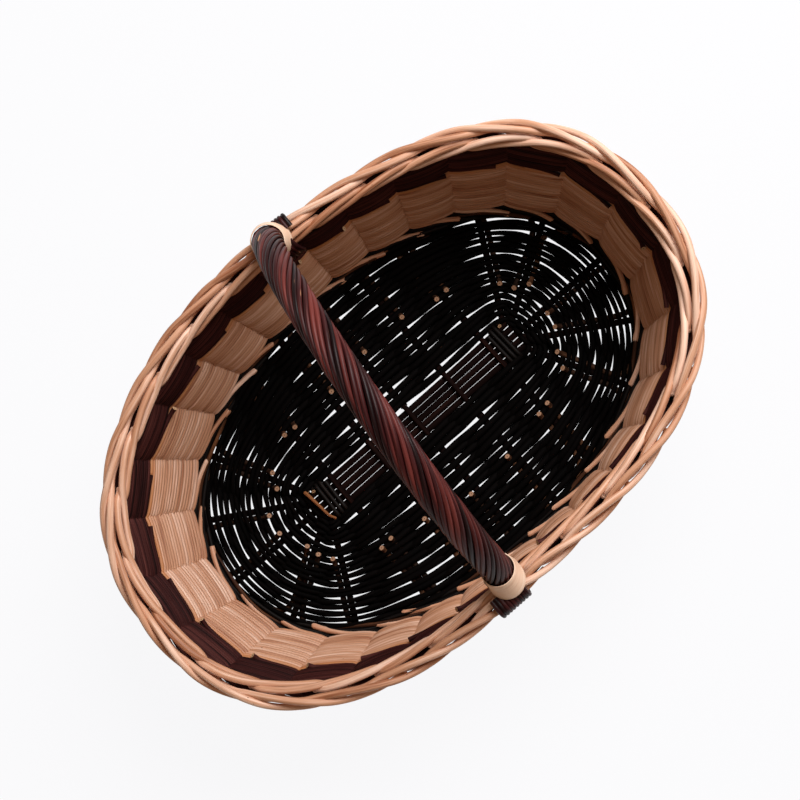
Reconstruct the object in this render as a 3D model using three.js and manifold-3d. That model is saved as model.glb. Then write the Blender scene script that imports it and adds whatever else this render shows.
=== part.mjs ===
// An oval willow log basket with a roped cross handle.
// Millimetres, +Z up. +X is the long way of the oval, +Y the way the handle spans.
// The origin lies on the floor, under the middle of the oval.

import * as THREE from 'three';
import * as BufferGeometryUtils from 'three/addons/utils/BufferGeometryUtils.js';
import Module from 'manifold-3d';

const wasm = await Module();
wasm.setup();

// Clearance between neighbouring pieces
const CLEARANCE = 0.3;

// Oval of the side stakes, measured on their axes at the foot and at the top of the wall
const FOOT_LENGTH = 510;
const FOOT_WIDTH = 334;
const TOP_LENGTH = 566;
const TOP_WIDTH = 370;
const FOOT_SQUARENESS = 2.2;
const TOP_SQUARENESS = 2.42;

// Heights of the woven bands, from the floor up
const WALE_HEIGHT = 16;
const SIDING_HEIGHT = 106;
const BROWN_BAND_HEIGHT = 46;

// Side stakes and the rods woven round them
const STAKE_COUNT = 28;
const STAKE_DIAMETER = 6.6;
const STAKE_TIP_DIAMETER = 5.4;
const STAKE_PHASE = 0.77;
const STAKE_EVENNESS = 0.65;
const STAKE_SIDES = 5;
const SIDING_ROD = 4.4;
const BROWN_ROD = 4.0;
const WALE_ROD = 5.0;

// Courses of rods in the two woven bands, and how much lower the last ones are than the first
const SIDING_COURSES = 24;
const BROWN_COURSES = 10;
const COURSE_TAPER = 0.14;
const GROOVE_WALL = 0.9;

// Border: how many stakes each turned-down strand passes behind and in front of
const STAKES_BEHIND = 2;
const STAKES_IN_FRONT = 2;
const BORDER_SLACK = 1.4;

// Base: slit cross sticks, long sticks through the slits, and two weavers
const CROSS_STICK_COUNT = 5;
const CROSS_STICK_PITCH = 51;
const CROSS_STICK_DIAMETER = 8;
const LONG_STICK_COUNT = 5;
const LONG_STICK_DIAMETER = 6;
const LONG_STICK_GAP = 1.2;
const FAN_ANGLE = THREE.MathUtils.degToRad(31);
const SLIT_WALL = 2.6;
const BASE_ROWS = 10;
const BASE_ROD = 5.2;
const BINDING_ROD = 3.4;
const BINDING_TURNS = 3;
const BASE_LIFT = 0.5;

// Handle: a bow across the basket, roped with thin rods
const HANDLE_RISE = 145;
const BOW_DIAMETER = 18.4;
const BOW_TIP_DIAMETER = 6;
const BOW_FOOT_GAP = 3;
const BOW_FOOT_INSET = 0.6;
const ROPING_ROD = 4.6;
const ROPING_GROUPS = 4;
const RODS_PER_GROUP = 4;
const ROPING_TURNS = 2.8;
const ROPING_STEPS = 30;
const COLLAR_HEIGHT = 20;
const COLLAR_FLARE = 2;
const COLLAR_THICKNESS = 1.6;
const COLLAR_SIDES = 14;
const TAIL_DROP = 26;
const TAIL_RODS = 7;

// Sizes that follow from the ones above
const stakeRadius = STAKE_DIAMETER / 2;
const strandTipRadius = STAKE_TIP_DIAMETER / 2;
const sidingFoot = WALE_HEIGHT + CLEARANCE;
const sidingTop = sidingFoot + SIDING_HEIGHT;
const brownFoot = sidingTop + CLEARANCE;
const wallTop = brownFoot + BROWN_BAND_HEIGHT;
const layer = STAKE_DIAMETER + BORDER_SLACK;
const borderLow = wallTop + CLEARANCE + stakeRadius;
const borderHigh = borderLow + 2 * layer;
const rim = borderHigh + stakeRadius;
const baseMiddle = BASE_LIFT + BASE_ROD + CLEARANCE + CROSS_STICK_DIAMETER / 2;

// Materials, one per kind of willow
const material = (color, roughness) => new THREE.MeshStandardMaterial({ color, roughness, metalness: 0 });
const looks = {
  buff: () => material(0xc89468, 0.6),
  brown: () => material(0x3a2022, 0.55),
  bark: () => material(0x1c1310, 0.65),
  wale: () => material(0x7a4c2c, 0.6),
  roping: () => material(0x54292a, 0.5),
  pale: () => material(0xe0b48e, 0.55),
};

const basket = new THREE.Group();

function place(name, geometry, look) {
  const mesh = new THREE.Mesh(geometry, look());
  mesh.name = name;
  basket.add(mesh);
  return mesh;
}

const numbered = (name, index) => `${name}_${String(index + 1).padStart(2, '0')}`;

// Closed solid through a row of rings, each with the same number of points.
// A loop of rings closes on itself; otherwise both ends are capped.
function loft(rings, loop = false) {
  const count = rings[0].length;
  const positions = rings.flat().flatMap((p) => [p.x, p.y, p.z]);
  const index = [];
  const bands = loop ? rings.length : rings.length - 1;
  for (let i = 0; i < bands; i += 1) {
    const here = i * count;
    const next = ((i + 1) % rings.length) * count;
    for (let j = 0; j < count; j += 1) {
      const k = (j + 1) % count;
      index.push(here + j, here + k, next + k, here + j, next + k, next + j);
    }
  }
  if (!loop) {
    const flat = (ring, tangent) => {
      const u = ring[1].clone().sub(ring[0]).normalize();
      const v = tangent.clone().cross(u);
      return ring.map((p) => p.clone().sub(ring[0])).map((d) => new THREE.Vector2(d.dot(u), d.dot(v)));
    };
    const last = (rings.length - 1) * count;
    const middle = (ring) => ring.reduce((sum, p) => sum.add(p), new THREE.Vector3()).divideScalar(count);
    const startWay = middle(rings[1]).sub(middle(rings[0])).normalize();
    const endWay = middle(rings[rings.length - 1]).sub(middle(rings[rings.length - 2])).normalize();
    const startFace = THREE.ShapeUtils.triangulateShape(flat(rings[0], startWay), []);
    const endFace = THREE.ShapeUtils.triangulateShape(flat(rings[rings.length - 1], endWay), []);
    startFace.forEach(([a, b, c]) => index.push(c, b, a));
    endFace.forEach(([a, b, c]) => index.push(last + a, last + b, last + c));
  }
  const geometry = new THREE.BufferGeometry();
  geometry.setAttribute('position', new THREE.Float32BufferAttribute(positions, 3));
  geometry.setIndex(index);
  return geometry;
}

// Frames carried along a path without twisting, starting from a given normal
function carriedFrames(points, firstNormal) {
  const frames = [];
  let normal = firstNormal.clone();
  points.forEach((point, i) => {
    const before = points[Math.max(i - 1, 0)];
    const after = points[Math.min(i + 1, points.length - 1)];
    const into = point.clone().sub(before).normalize();
    const out = after.clone().sub(point).normalize();
    const tangent = into.add(out).normalize();
    normal = normal.clone().addScaledVector(tangent, -normal.dot(tangent)).normalize();
    frames.push({ point, tangent, normal, binormal: tangent.clone().cross(normal) });
  });
  return frames;
}

// Rod along a path, with one radius for each point.
// A flattened rod has a second set of radii, along the binormal.
function rod(points, radii, sides, firstNormal, sideRadii = radii) {
  const rings = carriedFrames(points, firstNormal).map(({ point, normal, binormal }, i) => {
    const alongNormal = radii[i];
    const alongBinormal = sideRadii[i];
    return Array.from({ length: sides }, (_, j) => {
      const turn = (j / sides) * Math.PI * 2;
      return point.clone()
        .addScaledVector(normal, Math.cos(turn) * alongNormal)
        .addScaledVector(binormal, Math.sin(turn) * alongBinormal);
    });
  });
  return loft(rings);
}

// Solids for cutting and joining
function toSolid(geometry) {
  const bare = geometry.clone();
  bare.deleteAttribute('normal');
  bare.deleteAttribute('uv');
  const merged = BufferGeometryUtils.mergeVertices(bare, 1e-5);
  return new wasm.Manifold(new wasm.Mesh({
    numProp: 3,
    vertProperties: new Float32Array(merged.attributes.position.array),
    triVerts: new Uint32Array(merged.index.array),
  }));
}

function toGeometry(solid) {
  const mesh = solid.getMesh();
  const geometry = new THREE.BufferGeometry();
  geometry.setAttribute('position', new THREE.BufferAttribute(new Float32Array(mesh.vertProperties), 3));
  geometry.setIndex(new THREE.BufferAttribute(new Uint32Array(mesh.triVerts), 1));
  return geometry;
}

// Oval of the stakes' axes at a height, as half length, half width and squareness
function ovalAt(z) {
  const share = (z - sidingFoot) / (wallTop - sidingFoot);
  return {
    a: THREE.MathUtils.lerp(FOOT_LENGTH, TOP_LENGTH, share) / 2,
    b: THREE.MathUtils.lerp(FOOT_WIDTH, TOP_WIDTH, share) / 2,
    n: THREE.MathUtils.lerp(FOOT_SQUARENESS, TOP_SQUARENESS, share),
  };
}

// Point at a polar angle on the wall, moved outward by a distance along the oval's normal
function wallPoint(angle, z, outward = 0) {
  const { a, b, n } = ovalAt(z);
  const c = Math.cos(angle);
  const s = Math.sin(angle);
  const reach = (Math.abs(c / a) ** n + Math.abs(s / b) ** n) ** (-1 / n);
  const x = reach * c;
  const y = reach * s;
  const normal = new THREE.Vector2(
    Math.sign(x) * Math.abs(x / a) ** (n - 1) / a,
    Math.sign(y) * Math.abs(y / b) ** (n - 1) / b,
  ).normalize();
  return new THREE.Vector3(x + normal.x * outward, y + normal.y * outward, z);
}

// Stakes stand a little closer on the long sides than round the ends.
// The table below adds up small steps round the rim, each weighted by its length.
const angleTable = (() => {
  const steps = 1440;
  const sums = [0];
  for (let i = 0; i < steps; i += 1) {
    const from = wallPoint((i / steps) * Math.PI * 2, wallTop);
    const to = wallPoint(((i + 1) / steps) * Math.PI * 2, wallTop);
    sums.push(sums[i] + from.distanceTo(to) ** STAKE_EVENNESS);
  }
  return sums.map((sum) => sum / sums[steps]);
})();

// Polar angle at a place counted in stakes; fractions lie between two stakes
function angleAt(place) {
  const turns = (place + STAKE_PHASE) / STAKE_COUNT + 10;
  const share = turns - Math.floor(turns);
  const steps = angleTable.length - 1;
  let low = 0;
  let high = steps;
  while (high - low > 1) {
    const middle = (low + high) >> 1;
    if (angleTable[middle] <= share) low = middle;
    else high = middle;
  }
  const between = (share - angleTable[low]) / (angleTable[high] - angleTable[low]);
  return (Math.floor(turns) - 10 + (low + between) / steps) * Math.PI * 2;
}

// Path of one border strand, from the kink at the top of its stake to its tip.
// Each point is: stakes travelled, distance outward from the stakes, height.
const behind = -(STAKE_DIAMETER + BORDER_SLACK);
const inFront = STAKE_DIAMETER + BORDER_SLACK;
const outermost = inFront + stakeRadius + BORDER_SLACK;
const strandBulge = 0.15 * layer;
const crossing = STAKES_BEHIND + 0.4;
const strandPath = [
  [0.00, 0, borderHigh - stakeRadius],
  [0.10, -0.05 * layer, borderHigh],
  [0.50, behind * 0.75, borderHigh - 0.25 * layer],
  [1.00, behind, borderLow + 1.05 * layer],
  [STAKES_BEHIND - 0.4, behind * 1.1, borderLow + 0.3 * layer],
  [STAKES_BEHIND, behind, borderLow],
  [crossing, 0, borderLow + 0.1 * layer],
  [crossing + 0.45, inFront * 0.85, borderLow + 1.2 * layer],
  [crossing + 0.95, outermost, borderLow + 1.5 * layer],
  [crossing + STAKES_IN_FRONT - 0.6, outermost + strandBulge, borderLow + 0.9 * layer],
  [crossing + STAKES_IN_FRONT - 0.2, outermost, borderLow + 0.1 * layer],
];

// Half thickness of a woven band over a stake, and half way to the next one
const overStake = (rodDiameter) => stakeRadius + CLEARANCE + rodDiameter;
const betweenStakes = (rodDiameter) => rodDiameter / 2;

// A socket's corners reach this far from the axis of the rod in it
const socketReach = (radius) => (radius + CLEARANCE) / Math.cos(Math.PI / STAKE_SIDES);

// The handle's feet stand beside two stakes that face each other
const handleStakes = (() => {
  const first = Math.round(STAKE_COUNT * 0.25 - STAKE_PHASE - 0.5);
  return [first, first + Math.floor(STAKE_COUNT / 2)];
})();
const bowTipRadius = BOW_TIP_DIAMETER / 2;
const bowFootAway = stakeRadius + bowTipRadius + BOW_FOOT_GAP;

// Point of a handle's foot at a height; the foot runs along its stake, always as far from it
function footAngle(foot, z) {
  const index = handleStakes[foot];
  const pitch = wallPoint(angleAt(index), z).distanceTo(wallPoint(angleAt(index - 1), z));
  return angleAt(index - bowFootAway / pitch);
}

function footPoint(foot, z) {
  return wallPoint(footAngle(foot, z), z, -BOW_FOOT_INSET);
}

// Woven band: each rod passes inside one stake and outside the next, and the courses lie on each
// other. So over a stake the ring stands out at every second course, on its inner side at the even
// ones and on its outer side at the odd ones, and half way between two stakes it is narrow.
// Every stake and both feet of the handle have a socket in it, and over the stakes beside the
// handle's feet every course stands out.
function wovenBand(bottom, top, rodDiameter, courses) {
  const groove = socketReach(stakeRadius) + GROOVE_WALL;
  const ringAt = (z, side, stands) => Array.from({ length: STAKE_COUNT }, (_, i) => [
    [i, stands || handleStakes.includes(i) ? overStake(rodDiameter) : groove],
    [i + 0.5, betweenStakes(rodDiameter)],
  ].map(([at, half]) => wallPoint(angleAt(at), z, side * half))).flat();
  const socketAt = (middle, radius) => {
    const angle = Math.atan2(middle.y, middle.x);
    return Array.from({ length: STAKE_SIDES }, (_, j) => {
      const turn = angle + ((j + 0.5) / STAKE_SIDES) * Math.PI * 2;
      return new THREE.Vector3(Math.cos(turn), Math.sin(turn), 0)
        .multiplyScalar(socketReach(radius))
        .add(middle);
    });
  };
  const courseHeight = (course) => {
    const share = course / courses;
    return bottom + (top - bottom) * share * (1 + COURSE_TAPER * (1 - share));
  };
  const ringsAt = (course) => {
    const z = courseHeight(course);
    return [ringAt(z, 1, course % 2 === 1), ringAt(z, -1, course % 2 === 0)];
  };
  const socketsAt = (z) => [
    ...Array.from({ length: STAKE_COUNT }, (_, i) => socketAt(wallPoint(angleAt(i), z), stakeRadius)),
    ...handleStakes.map((_, foot) => socketAt(footPoint(foot, z), bowTipRadius)),
  ];
  const lower = [...ringsAt(0), ...socketsAt(bottom)];
  const upper = [...ringsAt(courses), ...socketsAt(top)];
  const between = Array.from({ length: courses - 1 }, (_, i) => ringsAt(i + 1));
  return prism(lower, upper, between);
}

// Solid between two matching sets of outlines, the first one outside and the rest holes.
// The first two outlines may pass through rings that lie between.
function prism(lower, upper, between = []) {
  const count = lower.flat().length;
  const ringCount = lower[0].length + lower[1].length;
  const points = [...lower.flat(), ...upper.flat(), ...between.flat(2)];
  const positions = points.flatMap((p) => [p.x, p.y, p.z]);
  const faces = [lower, upper].map((outlines) => {
    const flat = outlines.map((outline) => outline.map((p) => new THREE.Vector2(p.x, p.y)));
    const holes = flat.slice(1).map((outline) => outline.slice().reverse());
    return THREE.ShapeUtils.triangulateShape(flat[0], holes);
  });
  const order = [lower[0].map((_, j) => j)];
  let start = lower[0].length;
  for (const outline of lower.slice(1)) {
    order.push(outline.map((_, j) => start + outline.length - 1 - j));
    start += outline.length;
  }
  const id = order.flat();
  const index = [];
  faces[0].forEach(([a, b, c]) => index.push(id[c], id[b], id[a]));
  faces[1].forEach(([a, b, c]) => index.push(count + id[a], count + id[b], count + id[c]));
  const ringStarts = between.map((_, i) => 2 * count + i * ringCount);
  order.forEach((loop, number) => {
    const levels = number < 2 ? [0, ...ringStarts, count] : [0, count];
    levels.slice(1).forEach((high, i) => {
      const low = levels[i];
      loop.forEach((here, j) => {
        const next = loop[(j + 1) % loop.length];
        index.push(low + here, low + next, high + next, low + here, high + next, high + here);
      });
    });
  });
  const geometry = new THREE.BufferGeometry();
  geometry.setAttribute('position', new THREE.Float32BufferAttribute(positions, 3));
  geometry.setIndex(index);
  return geometry;
}

// Side stakes: out of the base, up through the wall, over and along the border
const waleInside = overStake(WALE_ROD);
const kneePath = [
  [-waleInside + CLEARANCE * 2, baseMiddle],
  [-stakeRadius * 0.7, baseMiddle + stakeRadius * 0.1],
  [0, sidingFoot],
];

function kneePoints(index, start = 0) {
  return kneePath.map(([outward, z], i) => wallPoint(angleAt(index), z, i === 0 ? outward - start : outward));
}

function stakeGeometry(index) {
  const points = [...kneePoints(index), wallPoint(angleAt(index), wallTop)];
  const radii = points.map(() => stakeRadius);
  strandPath.forEach(([travel, outward, z], i) => {
    points.push(wallPoint(angleAt(index + travel), z, outward));
    radii.push(THREE.MathUtils.lerp(stakeRadius, strandTipRadius, i / (strandPath.length - 1)));
  });
  return rod(points, radii, STAKE_SIDES, new THREE.Vector3(0, 0, 1));
}

function kneeSocket(index) {
  const points = [...kneePoints(index, WALE_ROD), wallPoint(angleAt(index), sidingFoot + WALE_ROD)];
  const radii = points.map(() => stakeRadius + CLEARANCE * 2);
  return rod(points, radii, STAKE_SIDES, new THREE.Vector3(0, 0, 1));
}

for (let i = 0; i < STAKE_COUNT; i += 1) {
  place(numbered('side_stake', i), stakeGeometry(i), looks.buff);
}

// Upsett wale: the ring that the basket stands on, cut to fit the knees of the stakes
const waleOutline = (z, side, offset = 0) => Array.from({ length: STAKE_COUNT }, (_, i) => [
  [i, waleInside],
  [i + 0.5, waleInside - WALE_ROD * 0.3],
].map(([at, half]) => wallPoint(angleAt(at), z, side * (half + offset)))).flat();

const waleRing = (() => {
  const outlinesAt = (z) => [waleOutline(z, 1), waleOutline(z, -1)];
  let solid = toSolid(prism(outlinesAt(0), outlinesAt(WALE_HEIGHT)));
  for (let i = 0; i < STAKE_COUNT; i += 1) {
    solid = solid.subtract(toSolid(kneeSocket(i)));
  }
  return toGeometry(solid);
})();
place('upsett_wale', waleRing, looks.wale);

place('buff_siding', wovenBand(sidingFoot, sidingTop, SIDING_ROD, SIDING_COURSES), looks.buff);
place('brown_band', wovenBand(brownFoot, wallTop, BROWN_ROD, BROWN_COURSES), looks.brown);

// Base sticks end just inside the wale
const longPitch = LONG_STICK_DIAMETER + LONG_STICK_GAP;
const slathHalf = ((LONG_STICK_COUNT - 1) / 2) * longPitch;
const crossHalf = ((CROSS_STICK_COUNT - 1) / 2) * CROSS_STICK_PITCH;
const bindingRun = BINDING_TURNS * (BINDING_ROD + CLEARANCE * 2) + BINDING_ROD;
const fanStart = crossHalf + CROSS_STICK_DIAMETER / 2 + bindingRun + LONG_STICK_DIAMETER;

// The space that the base sticks lie in: inside the wale, less a clearance.
// The wale leans outward, so its foot is what they have to clear.
const baseOutline = waleOutline(baseMiddle - CROSS_STICK_DIAMETER / 2, -1, CLEARANCE);

function insideWale(p) {
  let inside = false;
  baseOutline.forEach((a, i) => {
    const b = baseOutline[(i + 1) % baseOutline.length];
    const spans = (a.y > p.y) !== (b.y > p.y);
    if (spans && p.x < ((b.x - a.x) * (p.y - a.y)) / (b.y - a.y) + a.x) inside = !inside;
  });
  return inside;
}

// Length of a stick from a point, along a direction, that ends just inside the wale
function reachToWale(from, direction, radius) {
  const across = new THREE.Vector3(-direction.y, direction.x, 0);
  let low = 0;
  let high = FOOT_LENGTH;
  for (let i = 0; i < 50; i += 1) {
    const middle = (low + high) / 2;
    const end = from.clone().addScaledVector(direction, middle);
    const corners = [-radius, 0, radius].map((side) => end.clone().addScaledVector(across, side));
    if (corners.every(insideWale)) low = middle;
    else high = middle;
  }
  return low;
}

// Spokes: the stretches of stick that the weavers pass over and under, in order round the base
const spokes = [];
const onBase = (x, y) => new THREE.Vector3(x, y, baseMiddle);
const firstRowFromSlath = LONG_STICK_DIAMETER / 2 + BINDING_ROD + BASE_ROD * 2.4;
const firstRowFromFan = BASE_ROD * 6.2;
const edgeMargin = BASE_ROD * 1.2;

for (const end of [1, -1]) {
  for (let m = 0; m < LONG_STICK_COUNT; m += 1) {
    const offset = m - (LONG_STICK_COUNT - 1) / 2;
    const direction = new THREE.Vector3(Math.cos(offset * FAN_ANGLE), Math.sin(offset * FAN_ANGLE), 0);
    direction.multiplyScalar(end);
    const from = onBase(end * fanStart, end * offset * longPitch);
    const length = reachToWale(from, direction, LONG_STICK_DIAMETER / 2);
    spokes.push({
      from: from.clone().addScaledVector(direction, firstRowFromFan),
      direction,
      length: length - firstRowFromFan - edgeMargin,
      tip: from.clone().addScaledVector(direction, length),
    });
  }
  for (let m = 0; m < CROSS_STICK_COUNT; m += 1) {
    const x = end * (crossHalf - m * CROSS_STICK_PITCH);
    const direction = new THREE.Vector3(0, end, 0);
    const from = onBase(x, 0);
    const length = reachToWale(from, direction, CROSS_STICK_DIAMETER / 2);
    const inner = slathHalf + firstRowFromSlath;
    spokes.push({
      from: from.clone().addScaledVector(direction, inner),
      direction,
      length: length - inner - edgeMargin,
      tip: from.clone().addScaledVector(direction, length),
    });
  }
}

// Long sticks: straight through the slits, opened out like a fan at both ends
const perEnd = LONG_STICK_COUNT + CROSS_STICK_COUNT;
for (let m = 0; m < LONG_STICK_COUNT; m += 1) {
  const y = (m - (LONG_STICK_COUNT - 1) / 2) * longPitch;
  const right = spokes[m];
  const left = spokes[perEnd + LONG_STICK_COUNT - 1 - m];
  const bend = LONG_STICK_DIAMETER;
  const points = [
    left.tip,
    onBase(-fanStart, y).addScaledVector(left.direction, bend),
    onBase(-fanStart + bend * 0.8, y),
    onBase(fanStart - bend * 0.8, y),
    onBase(fanStart, y).addScaledVector(right.direction, bend),
    right.tip,
  ];
  const radii = points.map(() => LONG_STICK_DIAMETER / 2);
  place(numbered('base_long_stick', m), rod(points, radii, 6, new THREE.Vector3(0, 0, 1)), looks.bark);
}

// Cross sticks: thickened in the middle, where a slit takes the long sticks
const slitHalf = LONG_STICK_DIAMETER / 2 + CLEARANCE * 2.5;
const slitTip = slathHalf + LONG_STICK_DIAMETER * 1.4;
const slit = (() => {
  const corners = [
    [-slitTip, 0], [-slathHalf, -slitHalf], [slathHalf, -slitHalf],
    [slitTip, 0], [slathHalf, slitHalf], [-slathHalf, slitHalf],
  ];
  const shape = new THREE.Shape(corners.map(([x, y]) => new THREE.Vector2(x, y)));
  const depth = CROSS_STICK_DIAMETER * 3;
  const geometry = new THREE.ExtrudeGeometry(shape, { depth, bevelEnabled: false });
  geometry.translate(0, 0, -depth / 2);
  geometry.rotateX(Math.PI / 2);
  geometry.rotateZ(Math.PI / 2);
  return geometry;
})();

for (let m = 0; m < CROSS_STICK_COUNT; m += 1) {
  const top = spokes[LONG_STICK_COUNT + m].tip;
  const bottom = spokes[2 * perEnd - 1 - m].tip;
  const x = top.x;
  const radius = CROSS_STICK_DIAMETER / 2;
  const swollen = slitHalf + SLIT_WALL;
  const stations = [
    [bottom.y, radius], [-slitTip, radius], [-slathHalf, swollen],
    [slathHalf, swollen], [slitTip, radius], [top.y, radius],
  ];
  const points = stations.map(([y]) => onBase(x, y));
  const upright = stations.map(([, half]) => half);
  const level = stations.map(() => radius);
  const stick = toSolid(rod(points, upright, 6, new THREE.Vector3(0, 0, 1), level));
  const cut = slit.clone().translate(x, 0, baseMiddle);
  place(numbered('base_cross_stick', m), toGeometry(stick.subtract(toSolid(cut))), looks.bark);
}

// Base weavers: two rods that chase each other outward, one over where the other is under
const climb = CROSS_STICK_DIAMETER / 2 + CLEARANCE + BASE_ROD / 2;
['a', 'b'].forEach((letter, w) => {
  const points = [];
  const turns = BASE_ROWS / 2;
  for (let n = 0; n < spokes.length * turns; n += 1) {
    const spoke = spokes[n % spokes.length];
    const row = (2 * n) / spokes.length + w;
    const across = new THREE.Vector3(-spoke.direction.y, spoke.direction.x, 0);
    const height = (n + w) % 2 === 0 ? climb : -climb;
    const at = spoke.from.clone().addScaledVector(spoke.direction, (spoke.length * row) / (BASE_ROWS + 1));
    const half = CROSS_STICK_DIAMETER * 0.42;
    for (const side of [-half, half]) {
      const point = at.clone().addScaledVector(across, side);
      point.z = baseMiddle + height;
      points.push(point);
    }
  }
  const radii = points.map(() => BASE_ROD / 2);
  place(`base_weaver_${letter}`, rod(points, radii, 4, new THREE.Vector3(0, 0, 1)), looks.bark);
});

// Bindings: a short winding round all the long sticks at each end of the slath
const windingGaps = [];

// Least gap between a winding and itself, measured between points spaced closely along it.
// Points nearer than half a turn along the rod belong to the same stretch and don't count.
function leastSelfGap(points, diameter, halfTurn) {
  const fine = [];
  const steps = 12;
  points.slice(1).forEach((to, i) => {
    for (let k = 0; k < steps; k += 1) fine.push(points[i].clone().lerp(to, k / steps));
  });
  let least = Infinity;
  fine.forEach((p, i) => {
    for (let j = i + halfTurn * steps; j < fine.length; j += 1) {
      least = Math.min(least, p.distanceTo(fine[j]) - diameter);
    }
  });
  return least;
}

[1, -1].forEach((end) => {
  const reachY = slathHalf + LONG_STICK_DIAMETER / 2 + CLEARANCE * 2 + BINDING_ROD / 2;
  const reachZ = LONG_STICK_DIAMETER / 2 + CLEARANCE * 2 + BINDING_ROD / 2;
  const pitch = BINDING_ROD + CLEARANCE * 2;
  const corner = reachZ * 0.8;
  const lap = [
    [reachY - corner, reachZ], [-reachY + corner, reachZ],
    [-reachY, reachZ - corner], [-reachY, -reachZ + corner],
    [-reachY + corner, -reachZ], [reachY - corner, -reachZ],
    [reachY, -reachZ + corner], [reachY, reachZ - corner],
  ];
  const start = crossHalf + CROSS_STICK_DIAMETER / 2 + BINDING_ROD / 2 + CLEARANCE * 2;
  const points = [];
  for (let n = 0; n <= BINDING_TURNS * lap.length; n += 1) {
    const [y, z] = lap[n % lap.length];
    points.push(new THREE.Vector3(end * (start + (pitch * n) / lap.length), y, baseMiddle + z));
  }
  windingGaps.push(leastSelfGap(points, BINDING_ROD, lap.length / 2));
  const radii = points.map(() => BINDING_ROD / 2);
  const name = end > 0 ? 'base_binding_right' : 'base_binding_left';
  place(name, rod(points, radii, 5, new THREE.Vector3(1, 0, 0)), looks.bark);
});
console.log(`least gap between the turns of a binding: ${Math.min(...windingGaps).toFixed(2)} mm`);

// Handle: a round arch over the basket between its two feet, part of a circle
const feet = handleStakes.map((_, foot) => footPoint(foot, rim));
const chord = feet[1].clone().sub(feet[0]);
const halfSpan = chord.length() / 2;
const archRadius = (halfSpan ** 2 + HANDLE_RISE ** 2) / (2 * HANDLE_RISE);
const archCentre = rim + HANDLE_RISE - archRadius;
const firstTurn = Math.asin((rim - archCentre) / archRadius);
const archMiddle = feet[0].clone().add(feet[1]).divideScalar(2);
const sideways = new THREE.Vector3(-chord.y, chord.x, 0).normalize();

// Point on the arch; the share runs from 0 at the first foot to 1 at the second
function archPoint(share) {
  const turn = THREE.MathUtils.lerp(firstTurn, Math.PI - firstTurn, share);
  const point = archMiddle.clone().addScaledVector(chord, (-Math.cos(turn) * archRadius) / (2 * halfSpan));
  point.z = archCentre + archRadius * Math.sin(turn);
  return point;
}

// Shares in equal steps; on a circle these are equal lengths too
function archShares(from, to, steps) {
  return Array.from({ length: steps + 1 }, (_, k) => THREE.MathUtils.lerp(from, to, k / steps));
}

// Share of the arch at which it stands a given height over the rim
function shareAtHeight(height) {
  const turn = Math.asin((rim + height - archCentre) / archRadius);
  return (turn - firstTurn) / (Math.PI - 2 * firstTurn);
}

const bowRadius = BOW_DIAMETER / 2;
const twistPerStep = (Math.PI * 2 * ROPING_TURNS) / ROPING_STEPS;
const chordLoss = Math.cos(Math.PI / ROPING_GROUPS / 2) * Math.cos(twistPerStep / 2);
const ropingInside = (bowRadius + CLEARANCE) / chordLoss;
const ropingOutside = ropingInside + ROPING_ROD * 0.85;
const ropingFoot = shareAtHeight(CLEARANCE * 2 + ROPING_ROD + BOW_TIP_DIAMETER / 2);
const ropedShares = archShares(ropingFoot, 1 - ropingFoot, ROPING_STEPS);
const ropedPoints = ropedShares.map(archPoint);

// Bow: sharpened feet down to the wale, full thickness inside the roping
const legHeights = [sidingFoot + CLEARANCE, wallTop, rim - stakeRadius];
const legPoints = (foot) => legHeights.map((z) => footPoint(foot, z));
const bowPoints = [
  ...legPoints(0), archPoint(ropingFoot * 0.35),
  ...ropedPoints,
  archPoint(1 - ropingFoot * 0.35), ...legPoints(1).reverse(),
];
const bowRadii = [
  ...legHeights.map(() => bowTipRadius), bowTipRadius,
  ...ropedPoints.map(() => bowRadius),
  bowTipRadius, ...legHeights.map(() => bowTipRadius),
];
place('handle_bow', rod(bowPoints, bowRadii, 6, sideways), looks.bark);

// Roping: groups of rods side by side, wound together round the bow
const ropedFrames = carriedFrames(ropedPoints, sideways);
const groupAngle = (Math.PI * 2) / ROPING_GROUPS;
const groupGap = CLEARANCE / ropingInside;

function ropingSection(start) {
  const span = groupAngle - groupGap;
  const section = [];
  for (let r = 0; r < RODS_PER_GROUP; r += 1) {
    section.push([start + (span * r) / RODS_PER_GROUP, ropingOutside - ROPING_ROD * 0.3]);
    section.push([start + (span * (r + 0.5)) / RODS_PER_GROUP, ropingOutside]);
  }
  section.push([start + span, ropingOutside - ROPING_ROD * 0.3]);
  for (const share of [1, 0.5, 0]) {
    section.push([start + span * share, ropingInside]);
  }
  return section;
}

for (let g = 0; g < ROPING_GROUPS; g += 1) {
  const rings = ropedFrames.map(({ point, normal, binormal }, i) => {
    return ropingSection(g * groupAngle + twistPerStep * i).map(([turn, radius]) => point.clone()
      .addScaledVector(normal, Math.cos(turn) * radius)
      .addScaledVector(binormal, Math.sin(turn) * radius));
  });
  place(numbered('handle_roping', g), loft(rings), looks.roping);
}

// Collars: a pale band round the roping at each foot, a little wider at its lower edge
const collarInside = ropingOutside + CLEARANCE * 2;
const collarOutside = collarInside + COLLAR_THICKNESS;
const footHeight = CLEARANCE * 4 + ROPING_ROD + BOW_TIP_DIAMETER / 2;
const collarShares = [0, 0.5, 1].map((part) => shareAtHeight(footHeight + COLLAR_HEIGHT * part));

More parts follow.
